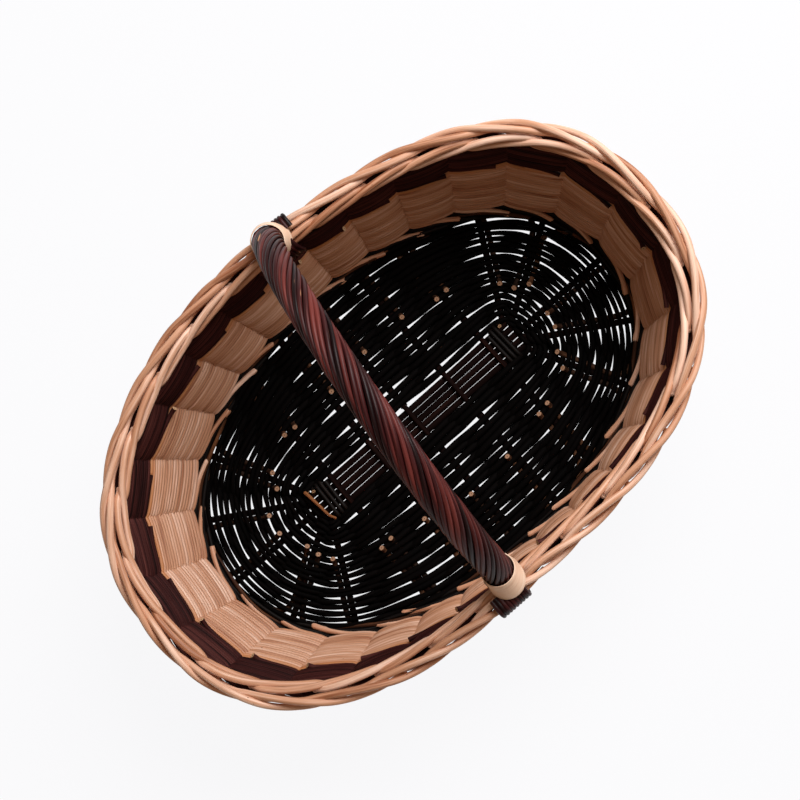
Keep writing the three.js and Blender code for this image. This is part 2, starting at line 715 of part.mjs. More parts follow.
['back', 'front'].forEach((name, foot) => {
  const shares = foot === 0 ? collarShares : collarShares.map((share) => 1 - share);
  const frames = carriedFrames(shares.map(archPoint), sideways);
  const circle = ({ point, normal, binormal }, radius) => {
    const reach = radius / Math.cos(Math.PI / COLLAR_SIDES);
    return Array.from({ length: COLLAR_SIDES }, (_, j) => {
      const turn = (j / COLLAR_SIDES) * Math.PI * 2;
      return point.clone()
        .addScaledVector(normal, Math.cos(turn) * reach)
        .addScaledVector(binormal, Math.sin(turn) * reach);
    });
  };
  const flare = [COLLAR_FLARE, COLLAR_FLARE * 0.4, 0];
  const outer = frames.map((frame, i) => circle(frame, collarOutside + flare[i]));
  const inner = frames.map((frame, i) => circle(frame, collarInside + flare[i]));
  const rings = [...outer, ...inner.reverse()];
  place(`handle_collar_${name}`, loft(rings, true), looks.pale);
});

// Tails: the roping's ends, side by side over the outside of the border and in under it
const tailInside = outermost + strandBulge + stakeRadius + CLEARANCE * 2;
const tailThickness = ROPING_ROD * 0.85;
['back', 'front'].forEach((name, foot) => {
  const angle = footAngle(foot, wallTop);
  const middle = tailThickness / 2;
  const overStrands = rim + CLEARANCE * 2 + middle;
  const path = [
    [inFront * 0.7, overStrands],
    [tailInside - tailThickness * 0.8, overStrands],
    [tailInside + middle, rim - tailThickness * 0.5],
    [tailInside + middle, wallTop + stakeRadius],
    [tailInside - tailThickness * 0.3, wallTop - tailThickness * 0.9],
    [overStake(BROWN_ROD) + CLEARANCE + middle, wallTop - TAIL_DROP * 0.45],
    [overStake(BROWN_ROD) + CLEARANCE + middle, wallTop - TAIL_DROP],
  ];
  const points = path.map(([outward, z]) => wallPoint(angle, z, outward));
  const width = ROPING_ROD * TAIL_RODS;
  const across = wallPoint(angle + 0.01, rim).sub(wallPoint(angle - 0.01, rim)).normalize();
  const rings = carriedFrames(points, across).map(({ point, normal, binormal }) => {
    const outer = [];
    for (let r = 0; r <= TAIL_RODS * 2; r += 1) {
      const dip = r % 2 === 0 ? 0.3 * ROPING_ROD : 0;
      outer.push([width * (r / (TAIL_RODS * 2) - 0.5), tailThickness / 2 - dip]);
    }
    const section = [...outer, [width / 2, -tailThickness / 2], [-width / 2, -tailThickness / 2]];
    return section.map(([side, out]) => point.clone()
      .addScaledVector(normal, side)
      .addScaledVector(binormal, -out));
  });
  place(`handle_tail_${name}`, loft(rings), looks.roping);
});

export default basket;
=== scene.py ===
# %% [markdown]
# # A willow log basket, rod by rod
#
# This script dresses the plain model of an oval log basket. A real basket of this kind is
# nothing but willow rods: thick ones stand up as stakes, thinner ones are woven round them,
# and the stakes' own tops are laid down to make the border. So nearly every piece here is a
# bundle of rods, and most of the script works out the paths that the rods follow.
#
# The frame is loaded first. It brings the plain solids in metres, with the origin on the floor
# under the middle of the oval, +X along the basket and +Z up.

# %% Load the frame
import math
import random
from bisect import bisect_right

import bmesh
import bpy
from mathutils import Matrix, Vector
from mathutils.kdtree import KDTree


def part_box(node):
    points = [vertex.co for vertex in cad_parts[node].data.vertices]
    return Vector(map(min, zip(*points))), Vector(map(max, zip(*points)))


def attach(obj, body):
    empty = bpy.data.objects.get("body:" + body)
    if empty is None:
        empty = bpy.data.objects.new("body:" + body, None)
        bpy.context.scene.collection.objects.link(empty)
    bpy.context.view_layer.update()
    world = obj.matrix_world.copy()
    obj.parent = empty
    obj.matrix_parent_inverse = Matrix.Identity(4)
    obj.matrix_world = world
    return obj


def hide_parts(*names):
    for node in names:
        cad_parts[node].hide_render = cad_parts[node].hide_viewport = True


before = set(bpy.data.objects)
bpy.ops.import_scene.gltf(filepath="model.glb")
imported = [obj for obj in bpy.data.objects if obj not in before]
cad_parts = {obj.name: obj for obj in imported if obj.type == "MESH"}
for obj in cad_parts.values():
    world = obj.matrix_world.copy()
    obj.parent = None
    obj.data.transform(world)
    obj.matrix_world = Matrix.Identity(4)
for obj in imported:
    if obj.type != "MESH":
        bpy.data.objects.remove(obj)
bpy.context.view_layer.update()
print("nodes in the frame:", len(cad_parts))

# %% [markdown]
# ## Sizes
#
# Most of these are the plain model's own sizes, written again in metres. Some rods are a few
# tenths of a millimetre thicker or thinner than its solids. Keeping the sizes as names means that
# a path can say "one stake's radius outside the wall" and not a bare number.

# %% Sizes
MM = 0.001
FOOT_LENGTH = 510 * MM
FOOT_WIDTH = 334 * MM
TOP_LENGTH = 566 * MM
TOP_WIDTH = 370 * MM
FOOT_SQUARENESS = 2.2
TOP_SQUARENESS = 2.42

STAKE_COUNT = 28
STAKE_PHASE = 0.77
STAKE_EVENNESS = 0.65
STAKE_RADIUS = 3.3 * MM
STRAND_RADIUS = 3.325 * MM
STRAND_TIP_RADIUS = 2.47 * MM

SIDING_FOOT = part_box("buff_siding")[0][2]
SIDING_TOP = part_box("buff_siding")[1][2]
BROWN_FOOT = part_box("brown_band")[0][2]
WALL_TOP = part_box("brown_band")[1][2]
BORDER_HEIGHT = 22.9 * MM
RIM = WALL_TOP + BORDER_HEIGHT

CROSS_STICKS = 5
CROSS_PITCH = 51 * MM
CROSS_RADIUS = 3.8 * MM
LONG_STICKS = 5
LONG_PITCH = 7.2 * MM
LONG_RADIUS = 3.3 * MM
FAN_ANGLE = math.radians(31)
FAN_START = 127.4 * MM
BASE_MIDDLE = 10 * MM

HANDLE_RISE = 145 * MM
ROPING_RADIUS = 12.1 * MM
ROPING_ROD = 2.25 * MM
ROPING_TURNS = 2.8

chance = random.Random(11)
print("wall from", round(SIDING_FOOT, 4), "to", round(WALL_TOP, 4), "rim at", round(RIM, 4))

# %% [markdown]
# ## Places on the wall
#
# The wall is a superellipse, which is an ellipse with its corners filled out a little, and it
# grows towards the top. `wall_point` turns a polar angle, a height and a distance outward into a
# point. `angle_at` counts round the basket in stakes: place 3 is the fourth stake and place 3.5
# lies half way to the next one. Places are handier than angles, because a weave is described by
# what it does at each stake.
#
# A hand-woven rim is never true. `sway` bends it out in slow waves and makes it fuller at the two
# ends, as in the photograph, and `on_wall` gives the point that a rod really goes through.

# %% Places on the wall
def oval_at(z):
    share = (z - SIDING_FOOT) / (WALL_TOP - SIDING_FOOT)
    length = FOOT_LENGTH + (TOP_LENGTH - FOOT_LENGTH) * share
    width = FOOT_WIDTH + (TOP_WIDTH - FOOT_WIDTH) * share
    return length / 2, width / 2, FOOT_SQUARENESS + (TOP_SQUARENESS - FOOT_SQUARENESS) * share


def wall_point(angle, z, outward=0.0):
    a, b, n = oval_at(z)
    c, s = math.cos(angle), math.sin(angle)
    reach = (abs(c / a) ** n + abs(s / b) ** n) ** (-1 / n)
    x, y = reach * c, reach * s
    normal = Vector((math.copysign(abs(x / a) ** (n - 1) / a, x),
                     math.copysign(abs(y / b) ** (n - 1) / b, y), 0)).normalized()
    return Vector((x, y, z)) + normal * outward


def make_angle_table(steps=1440):
    """Share of the stakes passed at each angle; the evenness sets them wider apart at the ends."""
    sums = [0.0]
    for i in range(steps):
        start = wall_point(math.tau * i / steps, WALL_TOP)
        end = wall_point(math.tau * (i + 1) / steps, WALL_TOP)
        sums.append(sums[-1] + (end - start).length ** STAKE_EVENNESS)
    return [value / sums[-1] for value in sums]


ANGLES = make_angle_table()


def angle_at(place):
    turns = (place + STAKE_PHASE) / STAKE_COUNT
    whole = math.floor(turns)
    share = turns - whole
    low = min(bisect_right(ANGLES, share) - 1, len(ANGLES) - 2)
    between = (share - ANGLES[low]) / (ANGLES[low + 1] - ANGLES[low])
    return (whole + (low + between) / (len(ANGLES) - 1)) * math.tau


def sway(angle, z):
    """How far the wall leans out of true: four parts in mm, growing with the square of height."""
    share = max(z - SIDING_FOOT, 0.0) / (RIM - SIDING_FOOT)
    three = 3.6 * math.cos(3 * angle + math.radians(53))
    four = 1.4 * math.cos(4 * angle - math.radians(118))
    ends = (5.0 - math.cos(angle)) * math.cos(angle) ** 12
    corners = -1.2 * math.sin(2 * angle) ** 2
    return (three + four + ends + corners) * MM * share ** 2


def on_wall(place, z, outward=0.0):
    angle = angle_at(place)
    return wall_point(angle, z, outward + sway(angle, z))


spacing = (on_wall(0, WALL_TOP) - on_wall(1, WALL_TOP)).length
print("stakes", STAKE_COUNT, "about", round(spacing / MM, 1), "mm apart")

# %% [markdown]
# ## Rods
#
# A rod is a path with a radius at each point, and a tint, because no two willow rods have quite
# the same colour. Most paths are given by a few points, and `smooth` draws a curve through them.

# %% Rods
class Rod:
    def __init__(self, points, start=0.0, end=None, tint=None, blunt=(False, False)):
        """A point with a fourth number brings its own radius; otherwise start and end give it."""
        end = start if end is None else end
        last = len(points) - 1
        self.radii = [start + (end - start) * i / last for i in range(last + 1)]
        if len(points[0]) == 4:
            self.radii = [p[3] for p in points]
        self.points = [Vector(p[:3]) for p in points]
        self.tint = chance.random() if tint is None else tint
        self.offset = chance.uniform(0, 40)
        for side in (0, 1):
            if blunt[side]:
                self.round_off(side)

    def round_off(self, side):
        """Replace one end point by three that close in, as a trimmed rod end does."""
        points, radii = self.points, self.radii
        if side:
            points.reverse()
            radii.reverse()
        tip, radius = points[0], radii[0]
        way = (points[1] - tip).normalized()
        points[0:1] = [tip, tip + way * radius * 0.35, tip + way * radius * 0.9]
        radii[0:1] = [radius * 0.5, radius * 0.84, radius * 0.98]
        if side:
            points.reverse()
            radii.reverse()


def smooth(points, steps):
    """A smooth path through the points (Catmull-Rom), with so many steps in each span."""
    points = [Vector(p) for p in points]
    ends = [points[0] * 2 - points[1]] + points + [points[-1] * 2 - points[-2]]
    path = []
    for a, b, c, d in zip(ends, ends[1:], ends[2:], ends[3:]):
        for k in range(steps):
            t = k / steps
            path.append(0.5 * (2 * b + (c - a) * t + (2 * a - 5 * b + 4 * c - d) * t * t
                               + (3 * b - a - 3 * c + d) * t ** 3))
    return path + [points[-1]]


# %% [markdown]
# ## From rods to pieces
#
# A rod could be modelled by extruding a circle step by step, but Blender's curves do just that by
# themselves: a poly spline with a round bevel is swept along its path without twisting, and each
# point scales the bevel. The curve is then turned into a mesh, because a mesh can carry
# attributes.
#
# Three attributes are stored on every point. `straight` is where the point would lie if the rod
# were pulled straight, so that wood grain can follow a rod round every bend. `tint` is the rod's
# own, and `share` runs from 0 at the butt to 1 at the tip. The cut faces at the ends get a second
# material.

# %% From rods to pieces
def sweep(name, rods, sides):
    curve = bpy.data.curves.new(name, "CURVE")
    curve.dimensions = "3D"
    curve.bevel_depth = 1.0
    curve.bevel_resolution = sides // 2 - 2
    curve.use_fill_caps = True
    for rod in rods:
        spline = curve.splines.new("POLY")
        spline.points.add(len(rod.points) - 1)
        spline.points.foreach_set("co", [c for p in rod.points for c in (*p, 1.0)])
        spline.points.foreach_set("radius", rod.radii)
    carrier = bpy.data.objects.new(name + "_path", curve)
    bpy.context.collection.objects.link(carrier)
    depsgraph = bpy.context.evaluated_depsgraph_get()
    mesh = bpy.data.meshes.new_from_object(carrier.evaluated_get(depsgraph))
    bpy.data.objects.remove(carrier)
    bpy.data.curves.remove(curve)
    return mesh


def label(mesh, rods, sides):
    """Store the three attributes; the points of the caps come first in the mesh."""
    caps = 2 * sides * len(rods)
    straight, tints, shares, ends = [], [], [], []
    for rod in rods:
        along = rod.offset
        last = len(rod.points) - 1
        for i, (point, radius) in enumerate(zip(rod.points, rod.radii)):
            along += (point - rod.points[i - 1]).length if i else 0.0
            if i in (0, last):
                ends.extend(range(caps + len(tints), caps + len(tints) + sides))
            for j in range(sides):
                turn = math.tau * j / sides
                straight.append((along, radius * math.cos(turn), radius * math.sin(turn)))
                tints.append(rod.tint)
                shares.append(i / last)
    tree = KDTree(len(ends))
    for i in ends:
        tree.insert(mesh.vertices[i].co, i)
    tree.balance()
    twins = [tree.find(mesh.vertices[i].co)[1] - caps for i in range(caps)]
    straight = [straight[i] for i in twins] + straight
    tints = [tints[i] for i in twins] + tints
    shares = [shares[i] for i in twins] + shares
    layer = mesh.attributes.new("straight", "FLOAT_VECTOR", "POINT")
    layer.data.foreach_set("vector", [c for place in straight for c in place])
    for attribute, values in (("tint", tints), ("share", shares)):
        layer = mesh.attributes.new(attribute, "FLOAT", "POINT")
        layer.data.foreach_set("value", values)


def close_ends(mesh):
    """Weld the caps on, keep their edge sharp and give them the second material."""
    bm = bmesh.new()
    bm.from_mesh(mesh)
    bmesh.ops.remove_doubles(bm, verts=bm.verts, dist=1e-6)
    for face in bm.faces:
        cap = len(face.verts) == 3
        face.smooth = not cap
        face.material_index = 1 if cap else 0
        for edge in face.edges:
            if cap and any(len(other.verts) == 4 for other in edge.link_faces):
                edge.smooth = False
    bm.to_mesh(mesh)
    bm.free()


def add_piece(name, mesh, materials, nodes):
    piece = bpy.data.objects.new(name, mesh)
    bpy.context.collection.objects.link(piece)
    for material in materials:
        mesh.materials.append(material)
    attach(piece, "root")
    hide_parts(*nodes)
    return piece


def bundle(name, rods, materials, nodes, sides=8):
    mesh = sweep(name, rods, sides)
    mesh.materials.clear()
    label(mesh, rods, sides)
    close_ends(mesh)
    add_piece(name, mesh, materials, nodes)


# %% [markdown]
# ## A small language for materials
#
# Node trees are easier to read as sums. `Wire` wraps one output socket, so that `a * 0.5 + b`
# makes the Math nodes by itself, and `Graph.node` makes any other node: first its type, then its
# settings, then what goes into its sockets.

# %% A small language for materials
class Wire:
    def __init__(self, graph, socket):
        self.graph = graph
        self.socket = socket

    def combine(self, operation, first, second):
        return self.graph.node("ShaderNodeMath", {"operation": operation}, {0: first, 1: second})

    def __add__(self, other):
        return self.combine("ADD", self, other)

    def __radd__(self, other):
        return self.combine("ADD", other, self)

    def __sub__(self, other):
        return self.combine("SUBTRACT", self, other)

    def __rsub__(self, other):
        return self.combine("SUBTRACT", other, self)

    def __mul__(self, other):
        return self.combine("MULTIPLY", self, other)

    def __rmul__(self, other):
        return self.combine("MULTIPLY", other, self)


class Graph:
    def __init__(self, name):
        self.material = bpy.data.materials.new(name)
        self.material.use_nodes = True
        self.tree = self.material.node_tree
        self.tree.nodes.clear()

    def node(self, kind, settings=None, sockets=None, output=0):
        node = self.tree.nodes.new(kind)
        for key, value in (settings or {}).items():
            setattr(node, key, value)
        for key, value in (sockets or {}).items():
            if isinstance(value, Wire):
                self.tree.links.new(value.socket, node.inputs[key])
            else:
                node.inputs[key].default_value = value
        return Wire(self, node.outputs[output])

    def attribute(self, name, output):
        return self.node("ShaderNodeAttribute", {"attribute_name": name}, output=output)

    def stretch(self, vector, factors):
        return self.node("ShaderNodeVectorMath", {"operation": "MULTIPLY"}, {0: vector, 1: factors})

    def noise(self, vector, detail=2.0, roughness=0.5):
        sockets = {"Vector": vector, "Scale": 1.0, "Detail": detail, "Roughness": roughness}
        return self.node("ShaderNodeTexNoise", {"noise_dimensions": "3D"}, sockets)

    def ramp(self, value, low, high):
        """0 below low, 1 above high and a smooth step between them."""
        sockets = {"Value": value, "From Min": low, "From Max": high, "To Min": 0.0, "To Max": 1.0}
        return self.node("ShaderNodeMapRange", {"interpolation_type": "SMOOTHSTEP"}, sockets)

    def blend(self, factor, first, second):
        settings = {"data_type": "RGBA", "clamp_factor": True}
        return self.node("ShaderNodeMix", settings, {0: factor, 6: first, 7: second}, output=2)

    def surface(self, shader):
        output = self.tree.nodes.new("ShaderNodeOutputMaterial")
        self.tree.links.new(shader.socket, output.inputs["Surface"])
        return self.material


def srgb(red, green, blue):
    """A colour given on a 0 to 255 scale, as the linear values that shaders work in."""
    def linear(value):
        value /= 255
        return value / 12.92 if value <= 0.04045 else ((value + 0.055) / 1.055) ** 2.4
    return (linear(red), linear(green), linear(blue), 1.0)


# %% [markdown]
# ## Willow, peeled and with its bark on
#
# One recipe serves every rod. Long thin noise, drawn out along the rod, gives the fibres; a
# slower noise changes the tone every few centimetres; the rod's own tint sets it apart from its
# neighbours; and small flecks are the scars of buds and twigs. Peeled and boiled "buff" willow is
# a warm tan. Willow with its bark on runs from red-brown to nearly black.
#
# A cut end shows pale wood, darker towards the rim, with a brown dot of pith in the middle. The
# distance from the rod's axis is the length of the last two parts of `straight`.

# %% Willow materials
def willow(name, deep, body, light, fleck, flecks, roughness, bump, gloss=0.5, peel=None, tip=None):
    """Three tones from dark to pale, the flecks' colour and amount, and the finish.

    peel colours the patches where bark has come off, and tip the last tenth of a rod.
    """
    g = Graph(name)
    straight = g.attribute("straight", "Vector")
    tint = g.attribute("tint", "Fac")
    fibre = g.noise(g.stretch(straight, (40.0, 1400.0, 1400.0)), detail=3.0, roughness=0.6)
    streak = g.noise(g.stretch(straight, (14.0, 420.0, 420.0)), detail=2.0)
    patch = g.noise(g.stretch(straight, (11.0, 40.0, 40.0)), detail=2.0)
    shade = g.ramp(tint * 0.42 + patch * 0.6 + streak * 0.7 + fibre * 0.5 - 0.6, 0.0, 1.0)
    colour = g.blend(g.ramp(shade, 0.0, 0.5), deep, body)
    colour = g.blend(g.ramp(shade, 0.5, 1.0), colour, light)
    if tip:
        colour = g.blend(g.ramp(g.attribute("share", "Fac"), 0.90, 0.96) * 0.8, colour, tip)
    scars = g.noise(g.stretch(straight, (190.0, 420.0, 420.0)), detail=1.0)
    scar = g.ramp(scars, 0.80 - flecks, 0.86 - flecks)
    colour = g.blend(scar * 0.85, colour, fleck)
    if peel:
        bare = g.noise(g.stretch(straight, (24.0, 260.0, 260.0)), detail=1.0)
        colour = g.blend(g.ramp(bare, 0.76, 0.79), colour, peel)
    height = fibre * 0.5 + streak * 0.5 - scar * 0.6
    normal = g.node("ShaderNodeBump", None, {"Strength": bump, "Distance": 0.0006, "Height": height})
    sockets = {
        "Base Color": colour,
        "Roughness": fibre * 0.25 + (roughness - 0.12),
        "Specular IOR Level": gloss,
        "Normal": normal,
    }
    return g.surface(g.node("ShaderNodeBsdfPrincipled", None, sockets))


def cut_face(name, rim, wood, pith):
    g = Graph(name)
    straight = g.attribute("straight", "Vector")
    across = g.stretch(straight, (0.0, 1.0, 1.0))
    distance = g.node("ShaderNodeVectorMath", {"operation": "LENGTH"}, {0: across}, output="Value")
    speckle = g.noise(g.stretch(straight, (0.0, 2600.0, 2600.0)), detail=2.0)
    colour = g.blend(g.ramp(distance, 0.0004, 0.0008), pith, wood)
    colour = g.blend(g.ramp(distance, 0.0015, 0.0030), colour, rim)
    colour = g.blend(speckle * 0.5, colour, rim)
    normal = g.node("ShaderNodeBump", None, {"Strength": 0.4, "Distance": 0.0004, "Height": speckle})
    sockets = {"Base Color": colour, "Roughness": speckle * 0.2 + 0.6, "Normal": normal}
    return g.surface(g.node("ShaderNodeBsdfPrincipled", None, sockets))


buff = willow("buff_willow", srgb(146, 83, 48), srgb(206, 151, 118), srgb(244, 205, 182),
              srgb(98, 58, 34), 0.02, 0.5, 0.6, tip=srgb(196, 124, 70))
# Stake butts: peeled willow like the stakes, coloured dark brown as painted shade inside the base.
butt = willow("butt_willow_painted_shade", srgb(22, 12, 7), srgb(50, 29, 17), srgb(92, 58, 36),
              srgb(30, 16, 9), 0.02, 0.7, 0.35, gloss=0.15)
brown = willow("brown_willow", srgb(20, 6, 6), srgb(54, 22, 21), srgb(88, 46, 42),
               srgb(120, 84, 72), 0.0, 0.6, 0.3, gloss=0.1)
black = willow("black_willow", srgb(1, 1, 1), srgb(4, 2, 2), srgb(12, 7, 5),
               srgb(40, 24, 16), 0.0, 0.8, 0.3, gloss=0.05)
spine = willow("spine_willow", srgb(6, 2, 2), srgb(18, 7, 6), srgb(40, 19, 14),
               srgb(70, 44, 30), 0.0, 0.8, 0.3, gloss=0.04)
wale = willow("wale_willow", srgb(10, 5, 4), srgb(62, 34, 19), srgb(140, 88, 52),
              srgb(52, 28, 18), 0.02, 0.6, 0.35, gloss=0.15)
red = willow("red_willow", srgb(16, 4, 6), srgb(58, 21, 22), srgb(112, 50, 45),
             srgb(150, 110, 96), 0.0, 0.42, 0.35, gloss=0.2, peel=srgb(180, 130, 96))
skein = willow("pale_skein", srgb(226, 178, 148), srgb(244, 206, 178), srgb(255, 234, 214),
               srgb(206, 154, 118), 0.0, 0.5, 0.3)
buff_end = cut_face("buff_cut_end", srgb(170, 112, 70), srgb(226, 190, 150), srgb(110, 70, 44))
# Cut ends of the stake butts, darker than the stakes' own cut ends as painted shade.
painted_shade_butt_end = cut_face("butt_cut_end_painted_shade", srgb(110, 74, 50), srgb(182, 140, 110), srgb(66, 38, 24))
dark_end = cut_face("dark_cut_end", srgb(96, 60, 38), srgb(196, 156, 116), srgb(90, 54, 34))
print("willow materials:", len((buff, butt, brown, black, spine, wale, red, skein)))

# %% [markdown]
# ## Base sticks
#
# The base is an oval "slath". Five slit cross sticks lie across five long sticks, which run
# through the slits and open out like a fan at both ends. Together they give twenty spokes for the
# weavers. Each spoke is kept with its start, its direction and its two ends, counted from the
# first row of weaving to the wall.
#
# A slit cross stick is four rods here: its two ends, and two thin straps, which are the halves
# that pass above and below the long sticks.

# %% Base sticks
WALE_INSIDE = 9 * MM
FIRST_ROW = 6 * MM
FAN_BEND = 8 * MM
STRAP_RADIUS = 2.5 * MM
STRAP_LIFT = LONG_RADIUS + 2.3 * MM


class Spoke:
    def __init__(self, start, way, inner):
        self.start = Vector((*start, BASE_MIDDLE))
        self.way = Vector((*way, 0.0))
        self.across = Vector((-way[1], way[0], 0.0))
        self.inner = inner
        self.outer = self.reach()

    def reach(self):
        """Distance from the start to the inside of the foot wale."""
        a, b, n = oval_at(BASE_MIDDLE)
        a, b = a - WALE_INSIDE, b - WALE_INSIDE
        low, high = 0.0, FOOT_LENGTH
        for _ in range(40):
            middle = (low + high) / 2
            p = self.start + self.way * middle
            inside = abs(p.x / a) ** n + abs(p.y / b) ** n < 1
            low, high = (middle, high) if inside else (low, middle)
        return low

    def at(self, distance, side=0.0, lift=0.0):
        return self.start + self.way * distance + self.across * side + Vector((0, 0, lift))

    @property
    def tip(self):
        return self.at(self.outer)


slath_half = (LONG_STICKS - 1) / 2 * LONG_PITCH
cross_half = (CROSS_STICKS - 1) / 2 * CROSS_PITCH
# Along Y, with the share of the full lift that a strap has there.
STRAP = [
    (slath_half + 16 * MM, 0.2), (slath_half + 7 * MM, 0.55), (slath_half * 0.6, 1.0),
    (-slath_half * 0.6, 1.0), (-slath_half - 7 * MM, 0.55), (-slath_half - 16 * MM, 0.2),
]
fan, crosses, spokes = {}, {}, []
for end in (1, -1):
    for m in range(LONG_STICKS):
        turn = (m - (LONG_STICKS - 1) / 2) * FAN_ANGLE
        start = (end * FAN_START, end * (m - (LONG_STICKS - 1) / 2) * LONG_PITCH)
        spoke = Spoke(start, (end * math.cos(turn), end * math.sin(turn)), FIRST_ROW)
        fan[end, m] = spoke
        spokes.append(spoke)
    for m in range(CROSS_STICKS):
        x = end * (cross_half - m * CROSS_PITCH)
        spoke = Spoke((x, 0.0), (0.0, end), slath_half + FIRST_ROW)
        crosses[end, m if end > 0 else CROSS_STICKS - 1 - m] = spoke
        spokes.append(spoke)

for m in range(LONG_STICKS):
    right, left = fan[1, m], fan[-1, LONG_STICKS - 1 - m]
    bend = Vector((FAN_BEND, 0, 0))
    path = [left.tip, left.at(left.outer * 0.5), left.at(FAN_BEND), left.start + bend,
            right.start - bend, right.at(FAN_BEND), right.at(right.outer * 0.5), right.tip]
    rod = Rod(smooth(path, 6), LONG_RADIUS, tint=chance.uniform(0.1, 0.6))
    name = f"base_long_stick_{m + 1:02d}"
    bundle(name + "_rod", [rod], [spine, dark_end], [name])

for m in range(CROSS_STICKS):
    up, down = crosses[1, m], crosses[-1, m]
    x = up.start.x
    rods = []
    for spoke in (up, down):
        ends = [spoke.at(slath_half + 5 * MM), spoke.at(spoke.outer * 0.6), spoke.tip]
        rods.append(Rod(smooth(ends, 6), CROSS_RADIUS, tint=chance.uniform(0.1, 0.5)))
    for lift in (STRAP_LIFT, -STRAP_LIFT):
        path = smooth([(x, y, BASE_MIDDLE + lift * share) for y, share in STRAP], 5)
        rods.append(Rod(path, STRAP_RADIUS, tint=chance.uniform(0.2, 0.7)))
    name = f"base_cross_stick_{m + 1:02d}"
    bundle(name + "_rods", rods, [spine, dark_end], [name])
print("spokes round the base:", len(spokes))

# %% [markdown]
# ## Base weave
#
# The base is woven in "pairing": two rods work together, one over and one under each spoke, and
# they change places between two spokes by half a twist. At a spoke the two lie one above the
# other, so the gap to the next row is wide, and half way to the next spoke they lie side by side,
# so it closes. That makes the thin white wedges that the floor shows through. The pair runs on
# outward in one long spiral of nineteen rounds, and begins half a round before the first.
#
# The work is uneven, as it is in the photograph. The change-over comes early or late, and every
# crossing lies a little off its row. The camera looks down aslant, so the upper rod of the pair
# is also set up to a millimetre towards the point under the camera, and the lower one away from
# it. Seen from there, the two hide each other at a spoke.
#
# Each crossing makes a random generator of its own, from its number, so that it can be asked for
# twice and gives the same answer.

# %% Base weave
BASE_ROWS = 19
BASE_ROD = 2.2 * MM
LONG_SIDE_ROD = 1.44
FAN_ROD = 0.98
PAIR_LIFT = CROSS_RADIUS + 1 * MM
PAIR_SPREAD = 0.34
PAST_LAST_ROW = 4 * MM
TWIST_STEPS = 10
UNDER_CAMERA = Vector((86, -204, 0)) * MM
CAMERA_AWAY = 1.59
EARLY = len(spokes) // 2


def base_row_point(count):
    """Where the pair crosses a spoke, the spokes being counted on and on round the spiral."""
    spoke = spokes[count % len(spokes)]
    row = count / len(spokes)
    wobble = random.Random(count * 7 + 3).uniform(-0.2, 0.2)
    share = max((row + wobble) / BASE_ROWS, 0.0)
    return spoke.at(spoke.inner + (spoke.outer - spoke.inner + PAST_LAST_ROW) * share)


def twist(count):
    """Half turns made so far; between two spokes the change-over comes a little early or late."""
    span, t = math.floor(count), count % 1
    lean = random.Random(span * 5 + 1).uniform(-1, 1)
    return span + t ** (1.6 ** lean)


def base_rod_radius(count, weaver):
    """A little thicker or thinner from spoke to spoke, and thicker along the two long sides."""
    radii = []
    for step in (0, 1):
        span = math.floor(count) + step
        on_long_side = abs(spokes[span % len(spokes)].way.y) > 0.9
        side = LONG_SIDE_ROD if on_long_side else FAN_ROD
        uneven = random.Random(span * 13 + 5 + 7000 * weaver).uniform(0.92, 1.12)
        radii.append(BASE_ROD * side * uneven)
    return radii[0] + (radii[1] - radii[0]) * (count % 1)


crossings = [base_row_point(count) for count in range(-EARLY, len(spokes) * BASE_ROWS)]
middle_path = smooth(crossings, TWIST_STEPS)
for weaver, letter in enumerate("ab"):
    path = []
    for i, point in enumerate(middle_path):
        before = middle_path[max(i - 1, 0)]
        after = middle_path[min(i + 1, len(middle_path) - 1)]
        along = (after - before).normalized()
        across = Vector((-along.y, along.x, 0))
        turn = math.pi * (twist(i / TWIST_STEPS) + weaver)
        c, s = math.cos(turn), math.sin(turn)
        lift = math.copysign(abs(c) ** 0.55, c) * PAIR_LIFT
        lean = (UNDER_CAMERA - point) * (lift / CAMERA_AWAY)
        spread = across * math.asin(s) * BASE_ROD * PAIR_SPREAD
        place = point + spread + Vector((lean.x, lean.y, lift))
        path.append((*place, base_rod_radius(i / TWIST_STEPS, weaver)))
    name = f"base_weaver_{letter}"
    bundle(name + "_rod", [Rod(path, tint=0.3)], [black, dark_end], [name])
print("base rows:", BASE_ROWS, "points on the spiral:", len(middle_path))

# %% [markdown]
# ## Bindings
#
# At each end of the slath the weaver is first wound three times round all the long sticks. A
# winding is one unbroken path: a rounded box that moves on by a little more than the rod's
# thickness with every lap. Over the left one lies a loose rod end, as in the photograph.

# %% Bindings
BINDING_ROD = 2.1 * MM
BINDING_LAPS = 3
BINDING_PITCH = 5.2 * MM
for name, end in (("base_binding_right", 1), ("base_binding_left", -1)):
    wide = slath_half + LONG_RADIUS + BINDING_ROD + 1.0 * MM
    high = LONG_RADIUS + BINDING_ROD + 0.6 * MM
    corner = high * 0.8
    lap = [(wide - corner, high), (0, high), (-wide + corner, high), (-wide, 0),
           (-wide + corner, -high), (0, -high), (wide - corner, -high), (wide, 0)]
    start = cross_half + CROSS_RADIUS + BINDING_ROD + 0.6 * MM
    path = []
    for n in range(BINDING_LAPS * len(lap) + 1):
        y, z = lap[n % len(lap)]
        path.append((end * (start + BINDING_PITCH * n / len(lap)), y, BASE_MIDDLE + z))
    rods = [Rod(smooth(path, 5), BINDING_ROD, tint=-0.6)]
    if end < 0:
        x = -FAN_START - 1 * MM
        tail = [(x - 3 * MM, 21 * MM, 16 * MM), (x - 1.5 * MM, 12 * MM, 19 * MM), (x, 0, 20 * MM),
                (x + 1 * MM, -12 * MM, 18.5 * MM), (x + 4 * MM, -19 * MM, 15 * MM)]
        rods.append(Rod(smooth(tail, 6), 1.9 * MM, 1.3 * MM, tint=1.2))
    bundle(name + "_rod", rods, [wale, dark_end], [name])
print("laps in each binding:", BINDING_LAPS)
